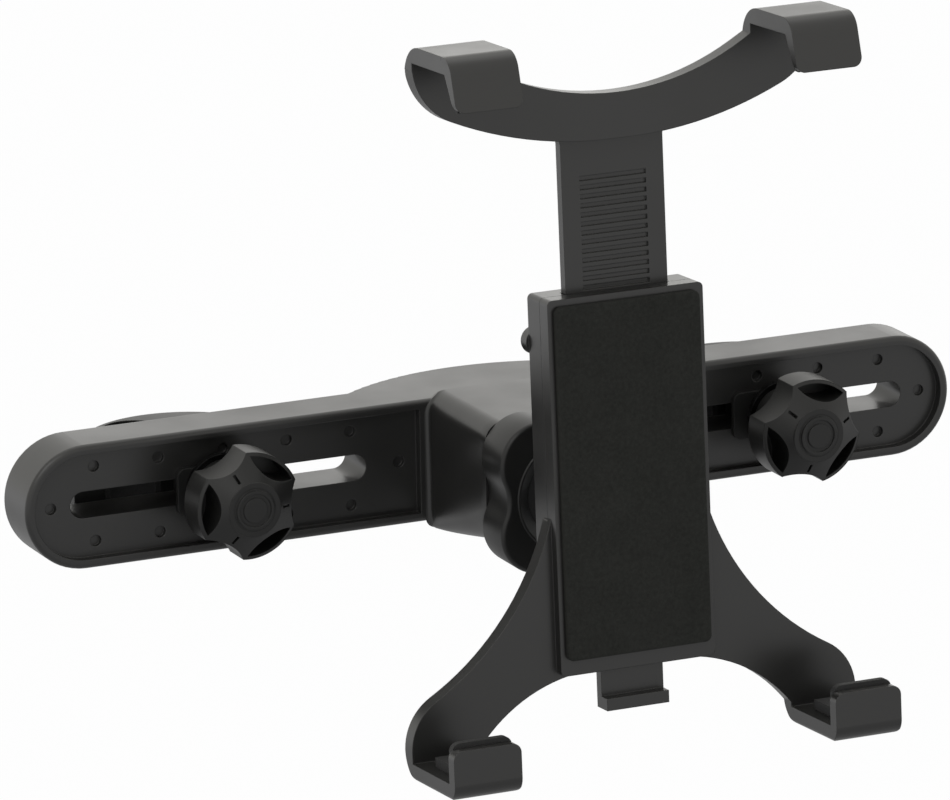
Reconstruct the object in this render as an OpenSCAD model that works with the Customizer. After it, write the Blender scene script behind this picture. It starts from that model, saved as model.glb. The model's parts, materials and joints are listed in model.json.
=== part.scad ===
// Headrest tablet mount: a cross bar clamps to the two posts of a car seat's headrest,
// and a ball joint on its hub carries a cradle whose sprung claws hold a tablet.
// Frame: origin in the middle of the bar's post side, +X along the bar, +Z up, tablet towards -Y.

/* [Cross bar] */
// Length of the bar from tip to tip
bar_length = 250; // [230:1:300]
// Height of the bar
bar_height = 31; // [29:0.5:40]
// Thickness of the bar, front to back
bar_thick = 15.5; // [14:0.5:20]
// Radius of the bar's outer edges
bar_edge = 1.2; // [0.5:0.1:2]
// Width of the rim left round the sunk front faces
rim_width = 2.3; // [1.5:0.1:3.5]
// Depth of the sunk front faces
sink_depth = 2.5; // [1.5:0.1:4]
// Distance from the middle to the start of a sunk face
sink_start = 21; // [20:0.5:26]
// Width of the two long slots
slot_width = 6.7; // [6.6:0.1:8]
// Distance from the middle to a slot's inner end
slot_inner = 34.5; // [30:0.5:40]
// Distance from the bar's tip to a slot's outer end
slot_tip = 12.4; // [11:0.1:20]
// Spacing of the small blind dimples in the sunk faces
dimple_pitch = 16.9; // [14:0.1:20]
// Radius of a dimple
dimple_r = 1.4; // [1:0.1:2]

/* [Hub] */
// How far the hub's curved back stands out behind the bar
bulge_depth = 11.2; // [6:0.1:16]
// Half the width of the curved back
bulge_half = 34; // [30:0.5:40]
// Half the width of the hub where it leaves the bar's front
hub_half = 18.4; // [17:0.1:20]
// Radius of the hub's neck behind the ring nut
neck_r = 17.2; // [16.8:0.1:19]
// Distance from the bar's back to the end of the neck
neck_end = 47.3; // [44:0.1:50]

/* [Ball joint] */
// Radius of the ball
ball_r = 11; // [10.6:0.1:11.2]
// Radius of the stem that leaves the ball
stem_r = 5.2; // [4.5:0.1:5.4]
// Outer radius of the ring nut over its lobes
nut_r = 22.3; // [21.5:0.1:25]
// Length of the ring nut along its axis
nut_length = 11.6; // [10.5:0.1:12.5]
// Number of lobes on the ring nut
nut_lobes = 4; // [3:1:6]

/* [Post clamps] */
// Distance from the hub's curved back to the left bolt as drawn
left_bolt_out = 40; // [17:0.5:60]
// Distance from the hub's curved back to the right bolt as drawn
right_bolt_out = 42.2; // [32:0.1:60]
// How far the right clamp is drawn forward in its slot
right_draw = 3.3; // [0:0.1:5.6]
// Radius of the headrest post that the jaw's lining takes
post_r = 6; // [5:0.1:6.2]
// Thickness of the rubber lining
lining = 1.2; // [0.8:0.1:1.4]
// Height of a jaw
jaw_height = 24; // [18:0.5:28]
// Radius of a knob over its lobes
knob_r = 13.4; // [12.5:0.1:15]
// Thickness of a knob's lobes
knob_thick = 9.3; // [7:0.1:11]
// Length of the boss behind a knob's lobes
knob_boss = 7.4; // [5:0.1:9]
// Height of a knob's cone and cap in front of its lobes
knob_cone = 4.1; // [3.4:0.1:6]
// Width of the rim outside a knob's pockets
knob_web = 0.9; // [0.8:0.1:2]

/* [Cradle] */
// How far the cradle leans back on its ball as drawn, in degrees
cradle_tilt = 3.2; // [-12:0.1:12]
// Distance from the bar's back to the cradle's back
cradle_back = 82.3; // [82:0.1:90]
// Width of the cradle's housing
case_w = 40.8; // [40:0.2:50]
// Height of the housing's top edge above the ball
case_top = 55.5; // [54:0.1:56]
// Depth of the housing's bottom edge below the ball
case_bottom = 36.2; // [35.8:0.1:36.4]
// Depth of the rear shell
rear_depth = 7; // [6.9:0.1:8]
// Depth of the front shell
front_depth = 4.4; // [4.3:0.1:6]
// Width of the foam pad
pad_w = 38; // [30:0.5:38.5]
// Height of the foam pad
pad_h = 86.2; // [70:0.1:87]
// Thickness of the foam pad
pad_t = 1.8; // [1:0.1:3]

/* [Claws] */
// Thickness of the legs, front to back
leg_t = 4.2; // [3.6:0.1:6]
// Thickness of the upper arm, front to back
arm_t = 4.6; // [4:0.1:6]
// Clear gap between a lower claw's lip and its leg
claw_gap = 21.4; // [14:0.1:24]
// Thickness of a lower claw's lip
lip_t = 3.2; // [2:0.1:4]
// Height of a lower claw's lip, with its root
lip_h = 12.4; // [9:0.1:14]
// Height of an upper claw's lip, with its root
up_lip_h = 12.6; // [9:0.1:14]
// Thickness of a claw's root, above or below the tablet
root_t = 4.1; // [3:0.1:5]
// How far an upper claw's lip leans outwards, in degrees
lip_lean = 14.6; // [0:0.1:18]
// Outer half width of the lower claws
low_out = 58.9; // [58:0.1:60]
// Inner half width of the lower claws
low_in = 41.4; // [40.5:0.1:43]
// Depth of the lower claws' underside below the ball
low_z = 56.8; // [56.5:0.1:60]
// Outer half width of the upper claws
up_out = 52.6; // [52:0.1:54.5]
// Inner half width of the upper claws
up_in = 35.4; // [34:0.1:37]
// Height of the upper claws' top above the ball
up_z = 120.3; // [119:0.1:124]
// Height of the arm's lowest edge above the ball
bow_low = 92.5; // [91:0.1:94]
// Width of the sliding neck
neck_w = 26.8; // [24:0.2:28]
// Pitch of the catch grooves on the neck
groove_pitch = 2.2; // [2:0.1:3]
// Width of the release tab
tab_w = 16.4; // [12:0.2:17.6]
// How far the release tab hangs below the housing
tab_drop = 9.6; // [6:0.1:12]

/* [Hidden] */
$fn = 72;
e = 0.01;
black = "#29292b";
rubber = "#1d1d1e";
steel = "#8f9297";
half_h = bar_height / 2;
slot_outer = bar_length / 2 - slot_tip;
floor_y = -(bar_thick - sink_depth);
// bolt thread and the parts round it
bolt_r = 3;
run = 0.05;
jaw_face = post_r + 0.1;
pocket_r = post_r + lining;
jaw_arc = 25;
post_x = -14.5;
head_y = jaw_face + 2.9;
flange_t = 1.5;
washer_y = floor_y - 0.05 - flange_t - 0.1;
washer_t = 1.6;
knob_y = washer_y - washer_t - 0.1;
lobe_back = knob_boss;
lobe_front = knob_boss + knob_thick;
knob_front = lobe_front + knob_cone;
insert_h = 10.6;
bolt_end = knob_y - insert_h - 2.5;
// ball joint
ball_y = -50;
socket_y = -26;
seat_r = ball_r + 2;
collet_r = seat_r + 2.2;
nut_back = -(neck_end + 0.6);
nut_front = nut_back - nut_length;
// cradle planes, front to back
case_back = -cradle_back;
case_split = case_back - rear_depth;
case_front = case_split - front_depth;
wall = 2;
neck_t = 2.6;
neck_front = case_split + 0.2;
neck_back = neck_front + neck_t;
leg_back = case_split + 2.4;
leg_front = leg_back - leg_t;
arm_back = neck_front + 0.3;
arm_front = arm_back - arm_t;
lip_back = leg_front - claw_gap;
lip_front = lip_back - lip_t;
// catch
tab_t = 2.6;
tab_x = -1.2;
tab_back = neck_front - 0.5;
tab_front = tab_back - tab_t;
tab_low = -case_bottom - tab_drop;
pawl_z = 38;
neck_foot = 6;
pad_mid = 10.7;
screw_x = case_w / 2 - 2.6;
screw_reach = 6.5;

// each leg's outer edge: a hollow arc that runs smoothly into the round heel
arch_r = 39.4;
arch = [10.2, -case_bottom - arch_r];
sweep = [84.9, 20.2];
sweep_r = 67;
heel_r = 13.8;
heel_x = low_out - heel_r;
heel = [heel_x, sweep.y - sqrt(pow(sweep_r + heel_r, 2) - pow(sweep.x - heel_x, 2))];
knee = heel + (sweep - heel) * heel_r / (sweep_r + heel_r);
// the arm's lower edge: a long bow that runs into a small round tip
bow_r = 100.6;
bow = [2.4, bow_low + bow_r];
tip_r = 16;
fillet_r = 1.8;
fillet_x = neck_w / 2 + fillet_r;
fillet_z = bow.y - sqrt(pow(bow_r, 2) - pow(fillet_x - bow.x, 2)) - fillet_r;
tip_x = up_out - tip_r;
tip = [tip_x, bow.y - sqrt(pow(bow_r - tip_r, 2) - pow(tip_x - bow.x, 2))];

// stands a flat outline up, facing the front, with its back at y
module face(y) {
    translate([0, y, 0]) rotate([90, 0, 0]) children();
}

// a flat outline in the side plane, drawn out along the bar from x by w
module along(x, w) {
    translate([x, 0, 0]) rotate([90, 0, 90]) linear_extrude(w) children();
}

module rounded(w, h, r) {
    square([w - 2 * r, h], center = true);
    square([w, h - 2 * r], center = true);
    for (i = [-1, 1], j = [-1, 1])
        translate([i * (w / 2 - r), j * (h / 2 - r)]) circle(r);
}

// what is cut from a square corner at the origin, lying in +x +y, to round it
module corner(r) {
    difference() {
        translate([-e, -e]) square(r + e);
        translate([r, r]) circle(r);
    }
}

module stadium(length, h) {
    square([length - h, h], center = true);
    for (s = [-1, 1])
        translate([s * (length - h) / 2, 0]) circle(d = h);
}

// leans a piece back with the cradle, about the ball's middle
module in_cradle() {
    translate([0, ball_y, 0]) rotate([-cradle_tilt, 0, 0]) translate([0, -ball_y, 0]) children();
}

module both_sides() {
    for (s = [0, 1])
        mirror([s, 0, 0]) children();
}

// the bar and its hub

module bar_section() {
    translate([0, bar_thick / 2]) rounded(bar_height, bar_thick, bar_edge);
}

module bar_blank() {
    run_x = (bar_length - bar_height) / 2;
    face(0) {
        rotate([90, 0, 90]) translate([0, 0, -run_x]) linear_extrude(2 * run_x) bar_section();
        for (s = [-1, 1])
            translate([s * run_x, 0, 0]) rotate_extrude() intersection() {
                bar_section();
                translate([0, -1]) square([half_h + 1, bar_thick + 2]);
            }
    }
}

// the hub's back: a shallow drum lying against the bar
module hub_back() {
    drum_r = (bulge_half * bulge_half + bulge_depth * bulge_depth) / (2 * bulge_depth);
    intersection() {
        translate([0, bulge_depth - drum_r, 0]) rotate_extrude($fn = 144) intersection() {
            rounded(2 * drum_r, bar_height, bar_edge);
            translate([0, -half_h]) square([drum_r + 1, bar_height]);
        }
        translate([-bulge_half, -2, -half_h]) cube([2 * bulge_half, bulge_depth + 3, bar_height]);
    }
}

module hub_nose() {
    hull() {
        face(-(bar_thick - 2)) linear_extrude(1.5) rounded(2 * hub_half, bar_height - 0.4, 3);
        face(-(neck_end - 4)) cylinder(r = neck_r - 0.3, h = 1, $fn = 48);
    }
    face(-(neck_end - 4.5)) cylinder(r = neck_r, h = 3.5);
    face(-(neck_end - 1)) cylinder(r1 = neck_r, r2 = neck_r - 1, h = 1);
}

module cross_bar() {
    color(black) difference() {
        union() {
            bar_blank();
            hub_back();
            hub_nose();
        }
        both_sides() {
            face(floor_y) linear_extrude(sink_depth + 1) intersection() {
                stadium(bar_length - 2 * rim_width, bar_height - 2 * rim_width);
                translate([sink_start, -half_h]) square([bar_length / 2, bar_height]);
            }
            face(2) linear_extrude(bar_thick + 4) translate([(slot_inner + slot_outer) / 2, 0])
                stadium(slot_outer - slot_inner, slot_width);
            for (k = [0:4], j = [-1, 1])
                face(floor_y + 1.2) translate([38.6 + k * dimple_pitch, j * 9.4, 0]) cylinder(r = dimple_r, h = 3);
            face(floor_y + 1.2) translate([25.7, 0, 0]) cylinder(r = dimple_r, h = 3);
            face(floor_y + 1.2) translate([(slot_outer + bar_length / 2 - rim_width) / 2, 0, 0])
                cylinder(r = dimple_r, h = 3);
        }
        face(socket_y) cylinder(r = collet_r, h = neck_end);
    }
}

// split sleeve pressed into the neck; its fingers close on the seat under the ring nut
module socket_collet() {
    color(black) difference() {
        union() {
            face(socket_y - 0.2) cylinder(r = collet_r, h = neck_end + socket_y - 0.2);
            face(-neck_end + e) cylinder(r = collet_r - 0.7, h = nut_length - 1.9);
            for (k = [0:5])
                face(-neck_end - 0.9 - 1.5 * k) cylinder(r = collet_r - 0.2, h = 0.8);
        }
        face(-42.5) cylinder(r = seat_r + run, h = 20);
        face(socket_y - 2.5) cylinder(r = seat_r - 3, h = 20);
        for (a = [0, 90])
            rotate([0, a, 0]) translate([-0.8, -neck_end - 12, -collet_r - 1]) cube([1.6, 12, 2 * collet_r + 2]);
    }
}

module nut_outline(trim) {
    step = 360 / nut_lobes;
    difference() {
        circle(nut_r - trim);
        for (k = [0:nut_lobes - 1])
            rotate(k * step) translate([nut_r + 6.2, 0]) circle(11 + trim);
    }
}

module ring_nut() {
    lip = 2.2;
    color(black) difference() {
        union() {
            face(nut_back) linear_extrude(nut_length - 0.8) nut_outline(0.8);
            face(nut_back - 0.8) linear_extrude(nut_length - 2.4) nut_outline(0);
            face(nut_front + 0.8 + e) linear_extrude(0.8) nut_outline(0.8);
        }
        face(nut_back + 1) cylinder(r = collet_r + 0.15, h = nut_length - lip + 1);
        face(nut_back) cylinder(r = ball_r + 0.4, h = nut_length + 1);
        face(nut_front + 1.8) cylinder(r1 = ball_r + 0.4, r2 = ball_r + 2.8, h = 1.8 + e);
    }
}

module ball_seat() {
    color(rubber) face(ball_y) rotate_extrude($fn = 96) difference() {
        translate([0, -7]) square([seat_r, 14]);
        circle(ball_r + run);
        translate([-20, -20]) square([20, 40]);
        translate([-1, -20]) square([7.5, 40]);
    }
}

module ball_stud() {
    color(steel) in_cradle() {
        translate([0, ball_y, 0]) sphere(ball_r, $fn = 96);
        face(ball_y - 5) cylinder(r = stem_r, h = cradle_back - 61.3);
        face(-(cradle_back - 6.8)) cylinder(r = 9, h = 2.2);
        face(-(cradle_back - 4.7)) difference() {
            cylinder(r = 6, h = 3.6);
            translate([0, 0, 0.6]) cylinder(r = 2, h = 4);
        }
    }
}

// holds the cradle on the stud's end
module stud_washer() {
    color(steel) in_cradle() face(-(cradle_back - 1.1)) difference() {
        cylinder(r = 8.4, h = 1.2);
        translate([0, 0, -1]) cylinder(r = 2.1, h = 4);
    }
}

module stud_screw() {
    color(steel) in_cradle() {
        face(-(cradle_back - 4)) cylinder(r = 2, h = 4.2);
        face(-(cradle_back + 0.15)) difference() {
            cylinder(r1 = 4.4, r2 = 3.8, h = 1.6);
            translate([0, 0, 0.7]) cylinder(r = 1.8, h = 2, $fn = 6);
        }
    }
}

// the post clamps: s is -1 on the left and 1 on the right

function bolt_x(s) = s < 0 ? -bulge_half - left_bolt_out : bulge_half + right_bolt_out;
function draw(s) = s < 0 ? 0 : right_draw;

// the sliding block that keeps the bolt square to the slot
module slider(s) {
    color(black) translate([bolt_x(s), 0, 0]) difference() {
        union() {
            face(-0.4) linear_extrude(bar_thick - sink_depth)
                square([13, slot_width - 0.4], center = true);
            face(floor_y - 0.05) linear_extrude(flange_t) rounded(22, 12, 2);
        }
        face(2) cylinder(r = bolt_r + run, h = bar_thick + 4);
    }
}

module bolt(s) {
    color(steel) translate([bolt_x(s), -draw(s), 0]) {
        face(head_y) cylinder(r = bolt_r, h = head_y - bolt_end);
        face(head_y) translate([0, 0, 1.3]) cube([5.9, 5.9, 2.6], center = true);
        face(head_y + 2.4) cylinder(r1 = 4.4, r2 = 6.1, h = 1.4);
        face(head_y + 1) cylinder(r = 6.1, h = 1);
    }
}

// both jaws are the same piece, with the post's hollow to the left of the bolt
module jaw(s) {
    color(black) translate([bolt_x(s), -draw(s), 0]) difference() {
        union() {
            translate([0, 0, -jaw_height / 2]) intersection() {
                translate([-7, 17.2 - jaw_arc, 0]) union() {
                    cylinder(r = jaw_arc - 1, h = jaw_height, $fn = 120);
                    translate([0, 0, 1]) cylinder(r = jaw_arc, h = jaw_height - 2, $fn = 120);
                }
                translate([-40, jaw_face, -1]) cube([60, 20, jaw_height + 2]);
            }
            translate([-7.5, jaw_face + 3, 0]) face(0) linear_extrude(3) rounded(45, jaw_height - 1.6, 3);
        }
        translate([post_x, jaw_face, -jaw_height]) cylinder(r = pocket_r, h = 2 * jaw_height);
        face(head_y + 20) cylinder(r = 6.5, h = 20);
        face(head_y + 1) cylinder(r = bolt_r + run, h = 10);
        face(head_y + e) translate([0, 0, 2]) cube([6.1, 6.1, 4.2], center = true);
    }
}

// rubber half ring that bears on the headrest post
module jaw_lining(s) {
    color(rubber) translate([bolt_x(s) + post_x, jaw_face - draw(s), -(jaw_height - 2) / 2]) difference() {
        cylinder(r = pocket_r, h = jaw_height - 2);
        translate([0, 0, -1]) cylinder(r = post_r, h = jaw_height);
        translate([-20, -40, -1]) cube([40, 40, jaw_height + 2]);
    }
}

module knob_washer(s) {
    color(steel) translate([bolt_x(s), -draw(s), 0]) face(washer_y) difference() {
        cylinder(r = 9, h = washer_t);
        translate([0, 0, -1]) cylinder(r = bolt_r + 0.1, h = 4);
    }
}

module knob_outline(trim) {
    difference() {
        circle(knob_r - trim);
        for (a = [60, 180, 300])
            rotate(a) translate([knob_r + 8.3, 0]) circle(11.2 + trim);
    }
}

// a boss, three hollow-sided lobes with a pocket each, and a cone that rises to the cap
module knob(s) {
    color(black) translate([bolt_x(s), -draw(s), 0]) face(knob_y) rotate(s < 0 ? 57 : 77.5) difference() {
        union() {
            cylinder(r = 7.75, h = lobe_back + 1);
            translate([0, 0, lobe_back]) linear_extrude(0.6) knob_outline(0.6);
            translate([0, 0, lobe_back + 0.5]) linear_extrude(knob_thick - 0.9) knob_outline(0);
            intersection() {
                translate([0, 0, lobe_back + 1]) linear_extrude(knob_thick + knob_cone) knob_outline(0);
                translate([0, 0, lobe_front - 0.5]) cylinder(r1 = knob_r, r2 = 6.8, h = knob_cone - 0.3);
            }
            translate([0, 0, lobe_front]) cylinder(r = 6.8, h = knob_cone - 0.5);
        }
        for (a = [0, 120, 240])
            rotate(a) translate([0, 0, lobe_back + 2]) linear_extrude(knob_front) intersection() {
                circle(knob_r - knob_web);
                translate([knob_r + 4.85, 0]) circle(9.9);
            }
        for (a = [60, 180, 300])
            rotate(a) translate([7.6, -0.35, lobe_front + 0.9]) cube([2.2, 0.7, 4]);
        translate([0, 0, -1]) cylinder(r = 5, h = insert_h + 1);
        cylinder(r = bolt_r + 0.4, h = knob_front);
        translate([0, 0, knob_front - 1.5]) cylinder(r = 5.3, h = 2);
    }
}

// threaded metal bush moulded into the knob
module knob_insert(s) {
    color(steel) translate([bolt_x(s), -draw(s), 0]) face(knob_y) difference() {
        cylinder(r = 5, h = insert_h);
        translate([0, 0, -1]) cylinder(r = bolt_r + run, h = insert_h + 2);
    }
}

module knob_cap(s) {
    color(black) translate([bolt_x(s), -draw(s), 0]) face(knob_y - knob_front + 1.5) difference() {
        union() {
            cylinder(r = 5.3, h = 1);
            cylinder(r = 4.9, h = 1.5);
        }
        translate([0, 0, 1.1]) difference() {
            cylinder(r = 4.1, h = 1);
            translate([0, 0, -1]) cylinder(r = 3.1, h = 3);
        }
    }
}

module left_slider() { slider(-1); }
module left_bolt() { bolt(-1); }
module left_jaw() { jaw(-1); }
module left_lining() { jaw_lining(-1); }
module left_washer() { knob_washer(-1); }
module left_knob() { knob(-1); }
module left_insert() { knob_insert(-1); }
module left_cap() { knob_cap(-1); }
module right_slider() { slider(1); }
module right_bolt() { bolt(1); }
module right_jaw() { jaw(1); }
module right_lining() { jaw_lining(1); }
module right_washer() { knob_washer(1); }
module right_knob() { knob(1); }
module right_insert() { knob_insert(1); }
module right_cap() { knob_cap(1); }

module case_outline() {
    translate([0, (case_top - case_bottom) / 2]) rounded(case_w, case_top + case_bottom, 1.3);
}

module screw_places() {
    for (x = [-screw_x, screw_x], z = [43.5, -22])
        translate([x, 0, z]) children();
}

module rear_shell() {
    color(black) in_cradle() difference() {
        union() {
            face(case_back) linear_extrude(rear_depth - 0.1) case_outline();
            face(case_back + 4.3) cylinder(r = 11.6, h = 5);
            screw_places() face(case_back + 3) cylinder(r = 3.4, h = 3.1);
        }
        translate([-neck_w / 2 - 0.3, case_split - 1, -case_bottom + 2])
            cube([neck_w + 0.6, neck_back - case_split + 1.3, case_top + case_bottom]);
        face(case_back + 5) cylinder(r = 6 + run, h = 12);
        face(case_back + 1.15) cylinder(r = 9, h = 5);
        screw_places() face(case_back + 5) cylinder(r = 1.5, h = 14);
    }
}

// legs: hollow-sided outside, arched inside, ending in the lower claws
module leg_outline() {
    both_sides() difference() {
        translate([0, -low_z]) square([low_out, low_z + 3]);
        translate(sweep) circle(sweep_r, $fn = 144);
        intersection() {
            translate([arch.x, arch.y]) circle(arch_r, $fn = 144);
            translate([arch.x - e, -low_z - 1]) square([low_in - arch.x + e, low_z]);
        }
        translate([-1, -low_z - 1]) square([arch.x + 1, low_z + 1 - case_bottom]);
        difference() {
            translate([knee.x, heel.y]) square(20);
            translate(heel) circle(heel_r);
        }
        translate([low_out, -low_z]) rotate(90) corner(1.4);
        translate([low_in, -low_z]) corner(1.4);
    }
}

// what rounds the corner where a lip, leaning by a degrees, leaves its root
module lean_corner(y, a, r) {
    n = [-cos(a), -sin(a)];
    mid = [y - r * (1 - sin(a)) / n.x, r];
    difference() {
        polygon([[y - 2 * e, -e], [mid.x, -e], mid, mid + (r + e) * n]);
        translate(mid) circle(r);
    }
}

// a claw seen from the side, with its outer face on the axis and the tablet above it
module claw_section(back, front, lip_h, lean, back_r, front_r) {
    out = lip_front - lip_h * tan(lean) + (lean > 0 ? 0.6 : 0);
    root_in = lip_back + (lean > 0 ? 0.2 : 0);
    tip_in = lean > 0 ? out + 1.5 : lip_back;
    difference() {
        polygon([[back, 0], [out + lip_h * tan(lean), 0], [out, lip_h], [tip_in, lip_h],
            [root_in, root_t], [front, root_t], [front, root_t + 2], [back, root_t + 2]]);
        lean_corner(out + lip_h * tan(lean), lean, front_r);
        translate([back, 0]) rotate(90) corner(back_r);
    }
}

module lower_claw() {
    difference() {
        translate([0, 0, -low_z]) along(low_in, low_out - low_in) claw_section(leg_back, leg_front, lip_h, 0, 7, 4);
        face(lip_back + 1) linear_extrude(lip_t + 2) {
            translate([low_out, lip_h - low_z]) rotate(180) corner(2.3);
            translate([low_in, lip_h - low_z]) rotate(-90) corner(2.3);
        }
        face(leg_front + 10) linear_extrude(claw_gap + 20) {
            translate([low_out, -low_z]) rotate(90) corner(1.4);
            translate([low_in, -low_z]) corner(1.4);
        }
    }
}

module upper_claw_hook() {
    difference() {
        translate([0, 0, up_z]) along(up_in, up_out - up_in) mirror([0, 1])
            claw_section(arm_back, arm_front, up_lip_h, lip_lean, 8.5, 5);
        face(lip_back + 2) linear_extrude(lip_t + 9) {
            translate([up_out, up_z - up_lip_h]) rotate(90) corner(2.4);
            translate([up_in, up_z - up_lip_h]) corner(2);
            translate([up_out, up_z]) rotate(180) corner(1.2);
        }
    }
}

// rubber behind a lip, with a foot along the root
module lip_pad(x_in, x_out, foot_t, lip_h, lean) {
    out = lip_front - lip_h * tan(lean) + (lean > 0 ? 0.6 : 0);
    root_in = lip_back + (lean > 0 ? 0.2 : 0);
    tip_in = lean > 0 ? out + 1.5 : lip_back;
    over = lean > 0 ? 0 : 1.2;
    difference() {
        along(x_in + 1, x_out - x_in - 2) polygon([[root_in, root_t], [root_in + 1.8, root_t],
            [tip_in + 1.8, lip_h + over], [tip_in, lip_h + over]]);
        if (over > 0)
            face(lip_back + 4) linear_extrude(8) {
                translate([x_out - 1, lip_h + over]) rotate(180) corner(2.2);
                translate([x_in + 1, lip_h + over]) rotate(-90) corner(2.2);
            }
    }
    along(x_in + 3.5, x_out - x_in - 7)
        translate([root_in + 0.5, root_t]) square([claw_gap - 6, foot_t]);
}

module front_shell() {
    color(black) in_cradle() difference() {
        union() {
            face(case_split) linear_extrude(front_depth) case_outline();
            difference() {
                face(leg_back) linear_extrude(leg_t) leg_outline();
                along(-low_out - 1, 2 * low_out + 2) translate([leg_back, -low_z]) rotate(90) corner(7);
            }
            both_sides() lower_claw();
        }
        translate([-case_w / 2 - 0.1, case_split, -case_bottom - 0.1])
            cube([case_w + 0.2, 10, case_top + case_bottom]);
        translate([tab_x - tab_w / 2 - 0.3, tab_front - 0.3, -case_bottom - 1])
            cube([tab_w + 0.6, 10, case_bottom + 1 + 33.6]);
        translate([-8.3, tab_front - 0.7, 25])
            cube([16.6, 10, 17.8]);
        screw_places() face(case_split + 1) cylinder(r = 1.4, h = screw_reach - 3);
    }
    color(black) in_cradle()
        translate([-3, tab_front - 0.4, 14]) cube([6, case_split - tab_front + 0.5, 3]);
}

module shell_screws() {
    color(steel) in_cradle() screw_places() {
        face(case_back + 4) cylinder(r = 1.4, h = rear_depth + screw_reach);
        face(case_back + 4.4) cylinder(r1 = 2.2, r2 = 3, h = 1.4);
    }
}

module foam_pad() {
    color("#1b1c19") in_cradle() face(case_front) translate([0, pad_mid, 0])
        linear_extrude(pad_t) rounded(pad_w, pad_h, 1.4);
}

module lower_lip_pads() {
    color(rubber) in_cradle() both_sides() translate([0, 0, -low_z]) lip_pad(low_in, low_out, 2.5, lip_h, 0);
}

// upper arm: arched over, with its lower edge sweeping up to the claws
module arm_outline() {
    both_sides() {
        difference() {
            translate([0, bow.y - bow_r]) square([up_out, up_z - bow.y + bow_r]);
            intersection() {
                translate([0, 169.6]) circle(66, $fn = 144);
                translate([-1, 100]) square([up_in + 1, 60]);
            }
            difference() {
                translate([-1, bow_low - 3]) square([80, 30]);
                translate(bow) circle(bow_r, $fn = 180);
            }
            difference() {
                translate([tip.x + (tip.x - bow.x) * tip_r / (bow_r - tip_r), tip.y - 20]) square(20);
                translate(tip) circle(tip_r);
            }
        }
    }
}

module neck_fillet() {
    difference() {
        translate([neck_w / 2 - 1, fillet_z]) square([fillet_r + 1, fillet_r + 0.3]);
        translate([fillet_x, fillet_z]) circle(fillet_r);
    }
}

module upper_claw() {
    color(black) in_cradle() difference() {
        union() {
            face(neck_back) linear_extrude(neck_t) {
                translate([-neck_w / 2, neck_foot]) square([neck_w, bow_low + 7 - neck_foot]);
                both_sides() neck_fillet();
            }
            difference() {
                face(arm_back) linear_extrude(arm_t) arm_outline();
                along(-up_out - 1, 2 * up_out + 2) translate([arm_back, up_z]) rotate(180) corner(8.5);
            }
            both_sides() upper_claw_hook();
        }
        for (k = [0:32])
            translate([-8.7, neck_front - 1, neck_foot + 6 + k * groove_pitch])
                cube([17.4, 1.6, groove_pitch / 2]);
    }
}

module upper_lip_pads() {
    color(rubber) in_cradle() both_sides() translate([0, 0, up_z]) mirror([0, 0, 1])
        lip_pad(up_in, up_out, 1.5, up_lip_h, lip_lean);
}

// pushed up from below, its wedge draws the pawl forward out of the grooves
module release_tab() {
    color(black) in_cradle() difference() {
        union() {
            translate([tab_x - tab_w / 2, tab_front, tab_low]) cube([tab_w, tab_t, 22.2 - tab_low]);
            translate([tab_x - tab_w / 2, tab_front - 3, tab_low]) cube([tab_w, 4, 3]);
            along(-6, 12)
                polygon([[tab_back, 21], [tab_back, 33], [tab_back - 0.2, 33], [tab_back - 1.8, 25],
                    [tab_back - 1.8, 21]]);
        }
        translate([-4.5, tab_front - 1, -8]) cube([9, 6, 28]);
    }
}

// flat folded spring that returns the tab
module tab_spring() {
    n = 6;
    lo = -7.9;
    hi = 13.9;
    step = (hi - lo) / n;
    color(steel) in_cradle() translate([0, tab_front + 1, 0]) rotate([90, 0, 0]) mirror([0, 0, 1])
        linear_extrude(1.4) union() {
            for (k = [0:n - 1])
                translate([-3, lo + k * step]) square([6, 0.7]);
            for (k = [0:n - 2])
                translate([k % 2 == 0 ? 2.3 : -3, lo + k * step]) square([0.7, step + 0.7]);
            translate([-3, hi - 0.7]) square([6, 0.7]);
            translate([(n - 1) % 2 == 0 ? 2.3 : -3, lo + (n - 1) * step]) square([0.7, step]);
        }
}

module pawl() {
    top = pawl_z + 4;
    color(black) in_cradle() along(-8, 16) {
        polygon([[tab_back, top], [tab_front + 0.4, top], [tab_front + 0.4, 26.6],
            [tab_back - 1.58, 26.6], [tab_back, 34.5]]);
        polygon([[neck_front - 0.05, pawl_z], [tab_back - 0.1, pawl_z + 0.9], [tab_back - 0.1, pawl_z - 0.9]]);
    }
}

cross_bar();
socket_collet();
ring_nut();
ball_seat();
ball_stud();
stud_washer();
stud_screw();
left_slider();
left_bolt();
left_jaw();
left_lining();
left_washer();
left_knob();
left_insert();
left_cap();
right_slider();
right_bolt();
right_jaw();
right_lining();
right_washer();
right_knob();
right_insert();
right_cap();
rear_shell();
front_shell();
shell_screws();
foam_pad();
lower_lip_pads();
upper_claw();
upper_lip_pads();
release_tab();
tab_spring();
pawl();
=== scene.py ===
# The headrest tablet mount: its materials, the pieces drawn anew, the studio and the camera.
import json
import math

import bmesh
import bpy
from mathutils import Matrix, Vector

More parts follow.
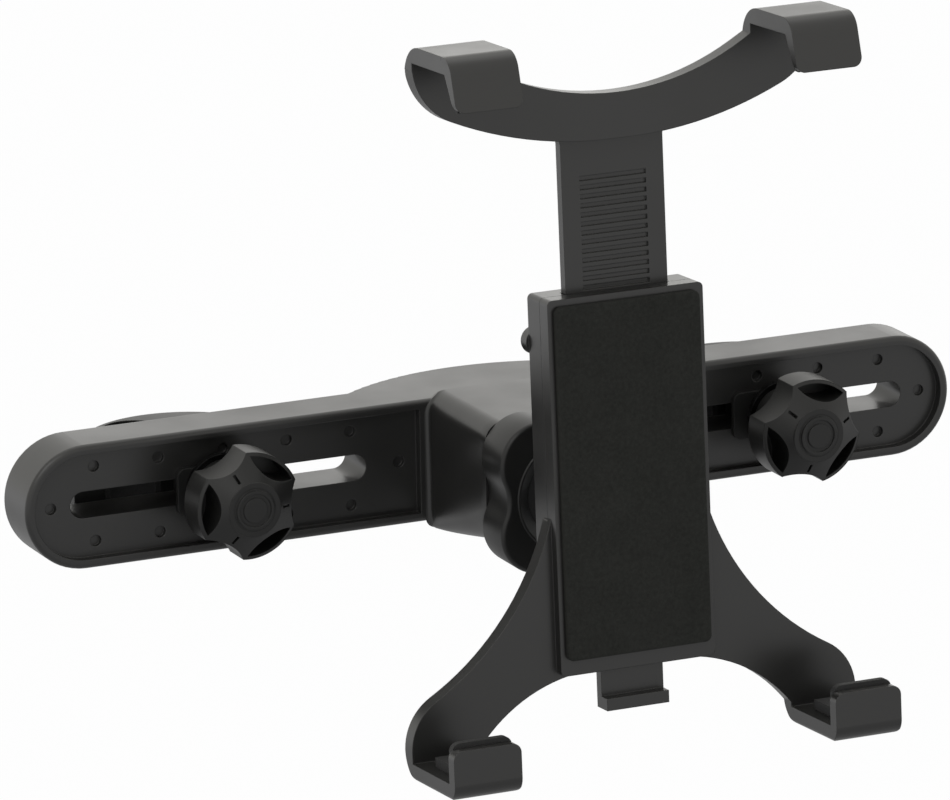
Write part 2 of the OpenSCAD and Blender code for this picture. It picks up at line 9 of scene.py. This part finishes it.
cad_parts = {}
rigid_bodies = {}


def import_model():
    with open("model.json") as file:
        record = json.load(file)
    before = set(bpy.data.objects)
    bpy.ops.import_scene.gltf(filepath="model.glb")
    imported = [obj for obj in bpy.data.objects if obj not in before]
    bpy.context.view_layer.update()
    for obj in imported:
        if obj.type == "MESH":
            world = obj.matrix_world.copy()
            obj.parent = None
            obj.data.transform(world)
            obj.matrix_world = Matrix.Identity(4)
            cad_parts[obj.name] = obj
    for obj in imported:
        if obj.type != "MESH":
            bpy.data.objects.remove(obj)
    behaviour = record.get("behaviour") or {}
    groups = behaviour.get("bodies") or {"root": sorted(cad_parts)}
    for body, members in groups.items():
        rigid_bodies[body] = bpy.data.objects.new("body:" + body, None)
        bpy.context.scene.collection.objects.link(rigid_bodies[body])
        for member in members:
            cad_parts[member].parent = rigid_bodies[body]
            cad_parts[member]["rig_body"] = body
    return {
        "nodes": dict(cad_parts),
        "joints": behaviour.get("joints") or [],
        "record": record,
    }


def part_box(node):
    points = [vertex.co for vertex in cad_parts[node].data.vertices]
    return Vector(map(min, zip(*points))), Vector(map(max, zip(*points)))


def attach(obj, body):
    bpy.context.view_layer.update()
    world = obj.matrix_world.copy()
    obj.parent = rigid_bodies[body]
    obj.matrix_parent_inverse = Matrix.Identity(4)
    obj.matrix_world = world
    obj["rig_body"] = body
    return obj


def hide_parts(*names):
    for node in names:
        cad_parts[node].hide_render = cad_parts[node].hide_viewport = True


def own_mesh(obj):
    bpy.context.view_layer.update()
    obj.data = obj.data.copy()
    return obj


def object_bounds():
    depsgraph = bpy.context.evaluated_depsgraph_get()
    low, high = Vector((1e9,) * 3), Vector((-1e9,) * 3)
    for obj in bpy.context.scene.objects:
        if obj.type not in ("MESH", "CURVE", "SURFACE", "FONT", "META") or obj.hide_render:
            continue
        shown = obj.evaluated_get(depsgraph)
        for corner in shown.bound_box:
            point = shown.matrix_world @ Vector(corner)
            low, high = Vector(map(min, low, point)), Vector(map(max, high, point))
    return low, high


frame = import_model()
cad_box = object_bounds()
MM = 0.001

# how close two places on the solids count as the same one
NEAR = 0.05 * MM
TOUCH = 0.01 * MM

# the photograph: its size, the lens in pixels, and where the camera stands
PHOTO_W = 950
LENS_PX = 8660
SENSOR = 36
TARGET = Vector((-6.0, -15.5, 13.8)) * MM
AZIMUTH = math.radians(24.06)
ELEVATION = math.radians(15.22)
ROLL = math.radians(-1.01)
DISTANCE = 2131.2 * MM

# the cradle leans back: its up and forward axes come from the slide and the pad's mount
JOINTS = {j["name"]: j for j in frame["joints"]}
MOUNTS = {m["name"]: m for m in frame["record"]["mounts"]}
CRADLE_UP = Vector(JOINTS["arm_slide"]["axis"]).normalized()
CRADLE_OUT = Vector(MOUNTS["pad_face"]["axis"]).normalized()
PAD_CENTRE = Vector(MOUNTS["pad_face"]["pos_m"])

# the bar, its nose and the ring nut; on the nut, _R is a radius, and _AT is how far the centre of a lobe,
# or of the hollow between two lobes, lies from the axis. NECK_HALF is the solid's greatest half height,
# which the neck sets: it stands 1.7 mm above the bar's own top
NECK_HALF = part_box("cross_bar")[1].z
BAR_FRONT = -15.5 * MM
BAR_EDGE = 1.2 * MM
NOSE_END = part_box("ring_nut")[1].y + 0.08 * MM
NOSE_HALF = 18.4 * MM
NOSE_BORE = 15.2 * MM
BALL_GAP = 11.4 * MM
NUT_LOBE_R = 10.4 * MM
NUT_LOBE_AT = 12.2 * MM
NUT_VALLEY_AT = 27.7 * MM
NUT_MOUTH = 13.9 * MM

# the upper claws: where their sides stand, and the corner that the solid leaves open
CLAW_OUTER = 52.6 * MM
CLAW_INNER = 35.4 * MM
CLAW_CUT = 1.2 * MM


def link(tree, a, b):
    tree.links.new(a, b)


def material(name):
    mat = bpy.data.materials.new(name)
    mat.use_nodes = True
    return mat, mat.node_tree, mat.node_tree.nodes["Principled BSDF"]


def noise(tree, scale, detail=2.0, roughness=0.5):
    coords = tree.nodes.new("ShaderNodeTexCoord")
    node = tree.nodes.new("ShaderNodeTexNoise")
    node.inputs["Scale"].default_value = scale
    node.inputs["Detail"].default_value = detail
    node.inputs["Roughness"].default_value = roughness
    link(tree, coords.outputs["Object"], node.inputs["Vector"])
    return node


def spread(tree, source, low, high, start=0.3, end=0.7):
    node = tree.nodes.new("ShaderNodeMapRange")
    node.inputs["From Min"].default_value = start
    node.inputs["From Max"].default_value = end
    node.inputs["To Min"].default_value = low
    node.inputs["To Max"].default_value = high
    link(tree, source, node.inputs["Value"])
    return node.outputs["Result"]


def blend_colours(tree, factor, dark, light):
    node = tree.nodes.new("ShaderNodeMix")
    node.data_type = "RGBA"
    node.inputs["A"].default_value = (*dark, 1)
    node.inputs["B"].default_value = (*light, 1)
    link(tree, factor, node.inputs["Factor"])
    return node.outputs["Result"]


def bump(tree, height, strength, depth, under=None):
    node = tree.nodes.new("ShaderNodeBump")
    node.inputs["Strength"].default_value = strength
    node.inputs["Distance"].default_value = depth
    link(tree, height, node.inputs["Height"])
    if under is not None:
        link(tree, under, node.inputs["Normal"])
    return node.outputs["Normal"]


def soft_edges(tree, radius):
    node = tree.nodes.new("ShaderNodeBevel")
    node.samples = 4
    node.inputs["Radius"].default_value = radius
    return node.outputs["Normal"]


def moulded_plastic(name, dark, light, smooth, rough, sheen, edge=0.35 * MM, gloss=0.5):
    """Satin plastic: a fine eroded grain, slow changes of gloss and eased edges."""
    mat, tree, bsdf = material(name)
    slow = noise(tree, 45, 3)
    grain = noise(tree, 2600, 3, 0.6)
    link(tree, blend_colours(tree, slow.outputs["Fac"], dark, light), bsdf.inputs["Base Color"])
    link(tree, spread(tree, slow.outputs["Fac"], smooth, rough), bsdf.inputs["Roughness"])
    rounded = soft_edges(tree, edge) if edge else None
    normal = bump(tree, grain.outputs["Fac"], 0.12, 0.03 * MM, rounded)
    link(tree, normal, bsdf.inputs["Normal"])
    bsdf.inputs["IOR"].default_value = 1.5
    bsdf.inputs["Specular IOR Level"].default_value = gloss
    bsdf.inputs["Coat Weight"].default_value = sheen
    bsdf.inputs["Coat Roughness"].default_value = 0.25
    link(tree, normal, bsdf.inputs["Coat Normal"])
    return mat


def moulded_rubber():
    mat, tree, bsdf = material("rubber")
    slow = noise(tree, 80, 2)
    grain = noise(tree, 1800, 4, 0.65)
    link(tree, blend_colours(tree, slow.outputs["Fac"], (0.008, 0.008, 0.008), (0.012, 0.012, 0.012)),
         bsdf.inputs["Base Color"])
    link(tree, spread(tree, grain.outputs["Fac"], 0.62, 0.78), bsdf.inputs["Roughness"])
    link(tree, bump(tree, grain.outputs["Fac"], 0.25, 0.05 * MM, soft_edges(tree, 0.25 * MM)),
         bsdf.inputs["Normal"])
    return mat


def closed_cell_foam():
    """Matt foam: open cut cells about half a millimetre wide in a slightly uneven sheet."""
    mat, tree, bsdf = material("foam")
    coords = tree.nodes.new("ShaderNodeTexCoord")
    cells = tree.nodes.new("ShaderNodeTexVoronoi")
    cells.inputs["Scale"].default_value = 1700
    link(tree, coords.outputs["Object"], cells.inputs["Vector"])
    patches = noise(tree, 120, 4, 0.6)
    fibres = noise(tree, 1100, 4, 0.7)
    tone = blend_colours(tree, spread(tree, fibres.outputs["Fac"], 0, 1),
                         (0.012, 0.0123, 0.0105), (0.022, 0.0226, 0.0195))
    link(tree, tone, bsdf.inputs["Base Color"])
    link(tree, spread(tree, patches.outputs["Fac"], 0.85, 0.97), bsdf.inputs["Roughness"])
    bsdf.inputs["Specular IOR Level"].default_value = 0.25
    pitted = bump(tree, cells.outputs["Distance"], 0.5, 0.12 * MM)
    link(tree, bump(tree, patches.outputs["Fac"], 0.3, 0.15 * MM, pitted), bsdf.inputs["Normal"])
    return mat


def plated_steel(name, dark, light):
    mat, tree, bsdf = material(name)
    marks = noise(tree, 700, 4, 0.6)
    link(tree, blend_colours(tree, marks.outputs["Fac"], dark, light),
         bsdf.inputs["Base Color"])
    link(tree, spread(tree, marks.outputs["Fac"], 0.24, 0.36), bsdf.inputs["Roughness"])
    link(tree, bump(tree, marks.outputs["Fac"], 0.1, 0.02 * MM, soft_edges(tree, 0.15 * MM)),
         bsdf.inputs["Normal"])
    bsdf.inputs["Metallic"].default_value = 1.0
    return mat


def dress(nodes, mat):
    for name in nodes:
        obj = frame["nodes"][name]
        obj.data.materials.clear()
        obj.data.materials.append(mat)


def quarter_turns(steps=6):
    """Angles from 0 to 90 degrees in even steps."""
    return [math.radians(90 * k / steps) for k in range(steps + 1)]


def rounded_outline(width, height, radius, steps=8):
    """Points round a rectangle with round corners, anticlockwise, about its middle."""
    points = []
    for corner, (sx, sy) in enumerate([(1, 1), (-1, 1), (-1, -1), (1, -1)]):
        for k in range(steps + 1):
            turn = math.radians(90 * corner + 90 * k / steps)
            points.append((sx * (width / 2 - radius) + radius * math.cos(turn),
                           sy * (height / 2 - radius) + radius * math.sin(turn)))
    return points


def foam_pad():
    """The glued pad: square at the back, its front edge rounded over, its face a little crowned."""
    solid = frame["nodes"]["foam_pad"]
    lean = Matrix((Vector((1, 0, 0)), CRADLE_UP, CRADLE_OUT))
    flat = [lean @ (v.co - PAD_CENTRE) for v in solid.data.vertices]
    width = 2 * max(p.x for p in flat)
    height = max(p.y for p in flat) - min(p.y for p in flat)
    thick = max(p.z for p in flat) - min(p.z for p in flat)
    edge, crown = 0.75 * MM, 0.12 * MM
    corner, least_corner = 1.6 * MM, 0.3 * MM
    crown_steps = (2, 4, 7, 11, 15)
    rings = [(0, 0), (0, 0.35 * thick), (0, thick - edge)]
    for turn in quarter_turns()[1:]:
        rings.append((edge * (1 - math.cos(turn)), thick - edge + (edge - crown) * math.sin(turn)))
    for inset in crown_steps:
        rings.append((inset * MM, thick - crown * (1 - inset / crown_steps[-1]) ** 2))
    mesh = bmesh.new()
    loops = []
    for inset, out in rings:
        radius = max(corner - inset, least_corner)
        outline = rounded_outline(width - 2 * inset, height - 2 * inset, radius)
        loops.append([mesh.verts.new(PAD_CENTRE + lean.transposed() @ Vector((x, y, out - thick)))
                      for x, y in outline])
    for low, high in zip(loops, loops[1:]):
        for k in range(len(low)):
            n = (k + 1) % len(low)
            mesh.faces.new((low[k], low[n], high[n], high[k]))
    mesh.faces.new(loops[-1])
    mesh.faces.new(reversed(loops[0]))
    bmesh.ops.recalc_face_normals(mesh, faces=mesh.faces)
    data = bpy.data.meshes.new("foam_cushion")
    mesh.to_mesh(data)
    mesh.free()
    data.shade_smooth()
    pad = bpy.data.objects.new("foam_cushion", data)
    bpy.context.scene.collection.objects.link(pad)
    data.materials.append(closed_cell_foam())
    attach(pad, "cradle")
    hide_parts("foam_pad")
    return pad


def smooth_mesh(name, mesh, angle=32):
    """A new object from a bmesh, smooth except at edges sharper than the angle."""
    bmesh.ops.recalc_face_normals(mesh, faces=mesh.faces)
    data = bpy.data.meshes.new(name)
    mesh.to_mesh(data)
    mesh.free()
    data.shade_smooth()
    data.set_sharp_from_angle(angle=math.radians(angle))
    obj = bpy.data.objects.new(name, data)
    bpy.context.scene.collection.objects.link(obj)
    return obj


def skin(loops):
    """Quads between loops of equal length, each loop closed; the last loop joins the first."""
    mesh = bmesh.new()
    rings = [[mesh.verts.new(p) for p in loop] for loop in loops]
    for low, high in zip(rings, rings[1:] + rings[:1]):
        for k in range(len(low)):
            n = (k + 1) % len(low)
            mesh.faces.new((low[k], low[n], high[n], high[k]))
    return mesh


def bore_ring(radius, y, around):
    """A circle about the bar's forward axis, with a point at each of the given angles."""
    return [(radius * math.cos(a), y, radius * math.sin(a)) for a in around]


def copy_of(node, name, mat):
    """A CAD node's mesh as a piece of its own."""
    piece = bpy.data.objects.new(name, frame["nodes"][node].data.copy())
    bpy.context.scene.collection.objects.link(piece)
    piece.data.materials.clear()
    piece.data.materials.append(mat)
    return piece


def hub_section(y, half, top_r, low_r, low_z, steps=8):
    """One slice of the hub's nose: flat top and sides, with its own radius at top and bottom corners."""
    loop = []
    for corner, (sx, sz) in enumerate([(1, 1), (-1, 1), (-1, -1), (1, -1)]):
        r, edge_z = (top_r, NECK_HALF) if sz > 0 else (low_r, low_z)
        for k in range(steps + 1):
            turn = math.radians(90 * corner + 90 * k / steps)
            loop.append((sx * (half - r) + r * math.cos(turn), y, sz * (edge_z - r) + r * math.sin(turn)))
    return loop


def bar_without_nose(mat):
    """The cross bar again, open where its nose stands."""
    bar = copy_of("cross_bar", "slotted_bar", mat)
    mesh = bmesh.new()
    mesh.from_mesh(bar.data)
    nose = [f for f in mesh.faces if min(v.co.y for v in f.verts) < BAR_FRONT - NEAR]
    bmesh.ops.delete(mesh, geom=nose, context="FACES")
    mesh.to_mesh(bar.data)
    mesh.free()
    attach(bar, frame["nodes"]["cross_bar"]["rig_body"])
    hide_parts("cross_bar")


def hub_nose(mat):
    """The nose as one block as high as the neck, 1.7 mm above the bar's top; its underside rises."""
    top_r, low_r, growth = 4.8 * MM, 1.2 * MM, 8.8 * MM
    root, rise, taper, end_edge = 1.4 * MM, 3.6 * MM, 0.4 * MM, 0.4 * MM
    slices = [hub_section(BAR_FRONT + BAR_EDGE, NOSE_HALF, top_r, low_r, NECK_HALF)]
    for turn in quarter_turns():
        flare = root * (1 - math.sin(turn))
        slices.append(hub_section(BAR_FRONT - root * (1 - math.cos(turn)), NOSE_HALF + flare,
                                  top_r + flare, low_r + flare, NECK_HALF))
    start, length = BAR_FRONT - root, BAR_FRONT - root - NOSE_END - end_edge
    for k in range(1, 11):
        share = k / 10
        slices.append(hub_section(start - share * length, NOSE_HALF - taper * share,
                                  top_r, low_r + growth * share, NECK_HALF - rise * share ** 1.5))
    slices.append(hub_section(NOSE_END, NOSE_HALF - taper - 0.1 * MM, top_r, low_r + growth,
                              NECK_HALF - rise - 0.1 * MM))
    around = [math.atan2(z, x) for x, _, z in slices[-1]]
    slices += [bore_ring(NOSE_BORE, y, around) for y in (NOSE_END, BAR_FRONT + BAR_EDGE)]
    nose = smooth_mesh("hub_nose", skin(slices))
    nose.data.materials.append(mat)
    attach(nose, frame["nodes"]["cross_bar"]["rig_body"])


def claw_corners(mat):
    """Closes the notch at each upper claw's outer corner, with the profile of the claw's inner side."""
    solid = frame["nodes"]["upper_claw"]
    points = [(v.co.x, v.co.dot(CRADLE_UP), v.co.dot(CRADLE_OUT)) for v in solid.data.vertices]
    top = max(z for _, z, _ in points)
    start = max(out for x, z, out in points if x > CLAW_OUTER - TOUCH and z > top - TOUCH)
    for side in (-1, 1):
        profile = sorted({(round(z, 6), round(out, 6)) for x, z, out in points
                          if abs(side * x - CLAW_INNER) < TOUCH and z > top - CLAW_CUT - 0.3 * MM
                          and out > start - NEAR})
        mesh = bmesh.new()
        for x in (CLAW_OUTER - CLAW_CUT, CLAW_OUTER):
            for z, out in profile + [(top - CLAW_CUT, start), (top, start)]:
                mesh.verts.new(Vector((side * x, 0, 0)) + CRADLE_UP * z + CRADLE_OUT * out)
        bmesh.ops.convex_hull(mesh, input=mesh.verts)
        corner = smooth_mesh(f"claw_corner_{'left' if side < 0 else 'right'}", mesh)
        corner.data.materials.append(mat)
        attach(corner, solid["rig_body"])


def flat_spring(mat):
    """The tab's spring, copied as a piece with a mesh of its own; on the mount it gives way from below as the
    tab is pushed up.
    """
    spring = copy_of("tab_spring", "flat_spring", mat)
    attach(spring, frame["nodes"]["tab_spring"]["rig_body"])
    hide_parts("tab_spring")
    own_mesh(spring)


def nut_outline(trim):
    """The ring nut's four round lobes and the hollows that run into them, drawn in by trim."""
    lobe = NUT_LOBE_AT * math.sqrt(0.5)
    valley = math.hypot(NUT_VALLEY_AT - lobe, lobe) - NUT_LOBE_R
    meet = math.atan2(lobe, lobe - NUT_VALLEY_AT)
    start = meet - math.pi
    hollow_steps, lobe_steps = 12, 24
    quarter = []
    hollow_r, lobe_r = valley + trim, NUT_LOBE_R - trim
    for k in range(hollow_steps):
        turn = -meet + 2 * start * k / hollow_steps
        quarter.append((NUT_VALLEY_AT + hollow_r * math.cos(turn), hollow_r * math.sin(turn)))
    for k in range(lobe_steps):
        turn = start + (math.radians(90) - 2 * start) * k / lobe_steps
        quarter.append((lobe + lobe_r * math.cos(turn), lobe + lobe_r * math.sin(turn)))
    turns = [(1, 0), (0, 1), (-1, 0), (0, -1)]
    return [(x * c - z * s, x * s + z * c) for c, s in turns for x, z in quarter]


def lobed_nut(mat):
    """The ring nut with rounded front edges, a thin rim round its mouth, and the bore for the sleeve."""
    front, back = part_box("ring_nut")[0].y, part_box("ring_nut")[1].y
    round_front, round_back, rim = 1.1 * MM, 0.12 * MM, 0.45 * MM
    loops = []
    for turn in quarter_turns():
        trim = round_back * (1 - math.sin(turn))
        loops.append([(x, back - round_back * (1 - math.cos(turn)), z) for x, z in nut_outline(trim)])
    for turn in quarter_turns():
        trim = round_front * (1 - math.cos(turn))
        loops.append([(x, front + round_front * (1 - math.sin(turn)), z) for x, z in nut_outline(trim)])
    around = [math.atan2(z, x) for x, z in nut_outline(0)]
    sleeve = NOSE_BORE + 0.15 * MM
    profile = [(NUT_MOUTH + 2 * rim, front), (NUT_MOUTH + 1.5 * rim, front - rim / 2),
               (NUT_MOUTH + rim / 2, front - rim / 2), (NUT_MOUTH, front), (BALL_GAP, front + 1.8 * MM),
               (BALL_GAP, front + 2.2 * MM), (sleeve, front + 3.2 * MM), (sleeve, back)]
    loops += [bore_ring(r, y, around) for r, y in profile]
    nut = smooth_mesh("lobed_nut", skin(loops))
    nut.data.materials.append(mat)
    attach(nut, frame["nodes"]["ring_nut"]["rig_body"])
    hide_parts("ring_nut")


def studio_floor():
    """A pale floor some way below the mount, which hangs in the air on its headrest posts."""
    drop = 260 * MM
    width = 12
    # glossy rays see the floor's glow painted darker near the mount and full at glow_end: a painted shade in
    # the plastic's reflections; camera rays see the floor evenly white
    glow_start, glow_end, painted_shade_level, bright = 0.7, 1.9, 0.55, 1.0
    white_share = 0.97
    bpy.ops.mesh.primitive_plane_add(size=width, location=(0, 0, cad_box[0].z - drop))
    floor = bpy.context.object
    floor.name = "studio_floor"
    mat, tree, bsdf = material("studio_floor")
    bsdf.inputs["Base Color"].default_value = (0.9, 0.9, 0.9, 1)
    bsdf.inputs["Roughness"].default_value = 0.9
    bsdf.inputs["Specular IOR Level"].default_value = 0.1
    white = tree.nodes.new("ShaderNodeEmission")
    coords = tree.nodes.new("ShaderNodeTexCoord")
    away = tree.nodes.new("ShaderNodeVectorMath")
    away.operation = "LENGTH"
    link(tree, coords.outputs["Object"], away.inputs[0])
    path = tree.nodes.new("ShaderNodeLightPath")
    # the floor's glow: full white for camera rays, and for reflected rays a painted shade that darkens
    # towards the mount
    glow_with_painted_shade = tree.nodes.new("ShaderNodeMix")
    link(tree, path.outputs["Is Camera Ray"], glow_with_painted_shade.inputs["Factor"])
    link(tree, spread(tree, away.outputs["Value"], painted_shade_level, bright, glow_start, glow_end), glow_with_painted_shade.inputs["A"])
    glow_with_painted_shade.inputs["B"].default_value = 1.0
    link(tree, glow_with_painted_shade.outputs["Result"], white.inputs["Strength"])
    mix = tree.nodes.new("ShaderNodeMixShader")
    link(tree, seen_directly(tree, white_share), mix.inputs["Fac"])
    link(tree, bsdf.outputs["BSDF"], mix.inputs[1])
    link(tree, white.outputs["Emission"], mix.inputs[2])
    link(tree, mix.outputs["Shader"], tree.nodes["Material Output"].inputs["Surface"])
    floor.data.materials.append(mat)


def seen_directly(tree, share):
    """The given share for camera, glossy and transmission rays, and none for the rest."""
    path = tree.nodes.new("ShaderNodeLightPath")
    first = tree.nodes.new("ShaderNodeMath")
    first.operation = "MAXIMUM"
    link(tree, path.outputs["Is Camera Ray"], first.inputs[0])
    link(tree, path.outputs["Is Glossy Ray"], first.inputs[1])
    second = tree.nodes.new("ShaderNodeMath")
    second.operation = "MAXIMUM"
    link(tree, first.outputs["Value"], second.inputs[0])
    link(tree, path.outputs["Is Transmission Ray"], second.inputs[1])
    scale = tree.nodes.new("ShaderNodeMath")
    scale.operation = "MULTIPLY"
    link(tree, second.outputs["Value"], scale.inputs[0])
    scale.inputs[1].default_value = share
    return scale.outputs["Value"]


def studio_world():
    world = bpy.data.worlds.new("studio")
    world.use_nodes = True
    tree = world.node_tree
    sky = tree.nodes["Background"]
    sky.inputs["Color"].default_value = (0.95, 0.97, 1.0, 1)
    sky.inputs["Strength"].default_value = 0.55
    path = tree.nodes.new("ShaderNodeLightPath")
    white = tree.nodes.new("ShaderNodeBackground")
    link(tree, blend_colours(tree, path.outputs["Is Camera Ray"], (1, 0.99, 0.95), (1, 1, 1)),
         white.inputs["Color"])
    white.inputs["Strength"].default_value = 1.0
    mix = tree.nodes.new("ShaderNodeMixShader")
    link(tree, seen_directly(tree, 1.0), mix.inputs["Fac"])
    link(tree, sky.outputs["Background"], mix.inputs[1])
    link(tree, white.outputs["Background"], mix.inputs[2])
    link(tree, mix.outputs["Shader"], tree.nodes["World Output"].inputs["Surface"])
    bpy.context.scene.world = world


def soft_box(name, place, size, power):
    """A square lamp that faces the mount: place and size in metres, power in watts."""
    data = bpy.data.lights.new(name, "AREA")
    data.shape = "SQUARE"
    data.size = size
    data.energy = power
    lamp = bpy.data.objects.new(name, data)
    lamp.location = place
    lamp.rotation_mode = "QUATERNION"
    lamp.rotation_quaternion = (TARGET - Vector(place)).to_track_quat("-Z", "Y")
    bpy.context.scene.collection.objects.link(lamp)


def photo_camera():
    back = Vector((-math.sin(AZIMUTH) * math.cos(ELEVATION), -math.cos(AZIMUTH) * math.cos(ELEVATION),
                   math.sin(ELEVATION)))
    level = Vector((math.cos(AZIMUTH), -math.sin(AZIMUTH), 0))
    upright = back.cross(level)
    right = math.cos(ROLL) * level + math.sin(ROLL) * upright
    up = back.cross(right)
    data = bpy.data.cameras.new("photo_camera")
    data.sensor_width = SENSOR
    data.lens = LENS_PX / PHOTO_W * SENSOR
    data.clip_start = 0.1
    data.clip_end = 50
    camera = bpy.data.objects.new("photo_camera", data)
    turn = Matrix((right, up, back)).transposed().to_4x4()
    camera.matrix_world = Matrix.Translation(TARGET + back * DISTANCE) @ turn
    bpy.context.scene.collection.objects.link(camera)
    bpy.context.scene.camera = camera


SIDES = ("left", "right")
# two plastics: the darker and the lighter colour, the least and the greatest roughness, and the sheen
SATIN = ((0.0118, 0.0115, 0.0108), (0.0150, 0.0147, 0.0138), 0.29, 0.38, 0.1)
MATT = ((0.0088, 0.0087, 0.0083), (0.0118, 0.0117, 0.0111), 0.34, 0.44, 0.0)
black = moulded_plastic("black_plastic", *SATIN)
unbevelled = moulded_plastic("nose_plastic", *SATIN, edge=0)
matt_black = moulded_plastic("matt_black_plastic", *MATT, gloss=0.36)
dress(["cross_bar", "socket_collet", "rear_shell", "front_shell", "upper_claw", "release_tab", "pawl"], black)
dress(["ring_nut"] + [f"{s}_{p}" for s in SIDES for p in ("slider", "jaw", "knob", "cap")], matt_black)
dress(["ball_seat", "lower_lip_pads", "upper_lip_pads"] + [f"{s}_lining" for s in SIDES], moulded_rubber())
steel = plated_steel("steel", (0.42, 0.43, 0.44), (0.55, 0.56, 0.57))
blacked = plated_steel("blacked_steel", (0.020, 0.020, 0.021), (0.036, 0.036, 0.037))
dress(["ball_stud", "stud_washer", "stud_screw", "shell_screws"]
      + [f"{s}_{p}" for s in SIDES for p in ("bolt", "insert")], steel)
dress([f"{s}_washer" for s in SIDES], blacked)
bar_without_nose(black)
hub_nose(unbevelled)
lobed_nut(matt_black)
flat_spring(steel)
claw_corners(unbevelled)
foam_pad()
studio_floor()
studio_world()
soft_box("key", (-1.1, -1.3, 1.5), 1.3, 9)
soft_box("top", (0.2, 0.5, 1.9), 1.6, 4)
soft_box("rim", (1.0, 2.2, 0.42), 0.9, 1.2)
photo_camera()
bpy.context.scene.view_settings.view_transform = "Standard"
